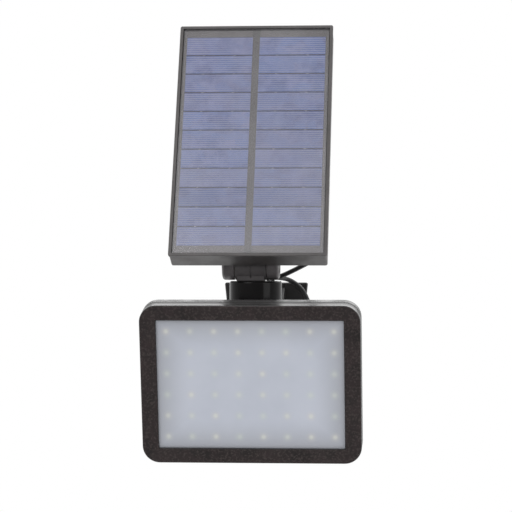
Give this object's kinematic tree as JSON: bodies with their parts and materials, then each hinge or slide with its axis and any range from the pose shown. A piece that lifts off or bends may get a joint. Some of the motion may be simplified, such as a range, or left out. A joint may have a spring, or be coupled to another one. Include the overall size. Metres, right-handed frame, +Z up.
{
  "type": "solar flood light",
  "caption": "Wall-mounted solar flood light: a tilting solar panel on a turning neck above a tilting LED lamp head with a frosted window.",
  "frame": {"origin": "centre of the wall plate's rear face, where it rests on the wall", "axes": "+Z up, +Y into the wall, -Y the way the light and the panel face"},
  "size_m": [0.165, 0.1594, 0.3362],
  "materials": {
    "bracket_plastic": "satin moulded black plastic",
    "turret_plastic": "half-gloss moulded black plastic",
    "tray_plastic": "fine-grained dark grey plastic",
    "head_plastic": "fine-grained black plastic, half-gloss edge",
    "gland_plastic": "black nylon",
    "washer_plastic": "natural nylon",
    "component_black": "black moulded parts",
    "white_plastic": "white plastic",
    "seal_rubber": "black rubber",
    "button_rubber": "dark grey rubber",
    "cable_jacket": "black cable jacket",
    "plain_steel": "zinc-plated steel",
    "black_steel": "blackened steel",
    "bracket_metal": "black powder-coated steel",
    "ribbon_metal": "tinned copper",
    "cell_silicon": "blue polycrystalline silicon",
    "panel_glass": "clear cover",
    "backing_board": "grey laminate",
    "frosted_window": "frosted translucent plastic",
    "white_board": "white solder mask",
    "green_board": "green solder mask",
    "led_phosphor": "yellow phosphor",
    "battery_wrap": "blue shrink wrap"
  },
  "bodies": {
    "wall_bracket": {"wall_plate": "bracket_plastic", "arm_screws": "plain_steel", "support_arm": "bracket_plastic", "arm_cable_clip": "bracket_plastic", "pan_disc": "seal_rubber"},
    "neck": {"pan_turret": "turret_plastic", "pan_bolt": "plain_steel", "pan_washer": "plain_steel", "turret_cable_clip": "bracket_plastic", "swivel_lead": "cable_jacket"},
    "solar_panel": {"panel_tray": "tray_plastic", "panel_backing": "backing_board", "solar_cells": "cell_silicon", "cell_ribbons": "ribbon_metal", "cover_glass": "panel_glass", "panel_seal": "seal_rubber", "blocking_diode": "component_black", "junction_cover": "tray_plastic", "junction_screws": "black_steel", "panel_gland": "gland_plastic", "panel_bracket": "bracket_plastic", "panel_bracket_screws": "black_steel", "tilt_bolt": "plain_steel", "tilt_nut": "plain_steel", "tilt_washers": "washer_plastic", "panel_lead": "cable_jacket"},
    "lamp_head": {"front_bezel": "head_plastic", "diffuser": "frosted_window", "reflector_frame": "white_plastic", "led_board": "white_board", "leds": "led_phosphor", "head_seal": "seal_rubber", "rear_housing": "head_plastic", "housing_screws": "black_steel", "battery_holder": "component_black", "battery_cells": "battery_wrap", "controller_board": "green_board", "controller_parts": "component_black", "switch_body": "component_black", "switch_spring": "plain_steel", "lamp_gland": "gland_plastic", "lamp_bracket": "bracket_metal", "lamp_bracket_screws": "plain_steel", "lamp_bolt": "plain_steel", "lamp_nut": "plain_steel", "lamp_washers": "washer_plastic", "lamp_lead": "cable_jacket"},
    "mode_button": {"switch_cap": "button_rubber"}
  },
  "joints": [
    {"name": "panel_pan", "type": "hinge", "parent": "wall_bracket", "child": "neck", "pos_m": [0, -0.1, 0.037], "axis": [0, 0, 1], "range_deg": [-90, 90], "deforming": ["swivel_lead"]},
    {"name": "panel_tilt", "type": "hinge", "parent": "neck", "child": "solar_panel", "pos_m": [0, -0.1, 0.058], "axis": [-1, 0, 0], "range_deg": [-24.5, 50], "deforming": ["panel_lead"]},
    {"name": "lamp_tilt", "type": "hinge", "parent": "wall_bracket", "child": "lamp_head", "pos_m": [0, -0.095, -0.024], "axis": [1, 0, 0], "range_deg": [-13, 45], "deforming": ["lamp_lead"]},
    {"name": "mode_press", "type": "slide", "parent": "lamp_head", "child": "mode_button", "axis": [0, -0.9744, -0.225], "range_m": [0, 0.0012], "stiffness_N_per_m": 400, "springref_m": -0.001, "deforming": ["switch_spring"]}
  ]
}
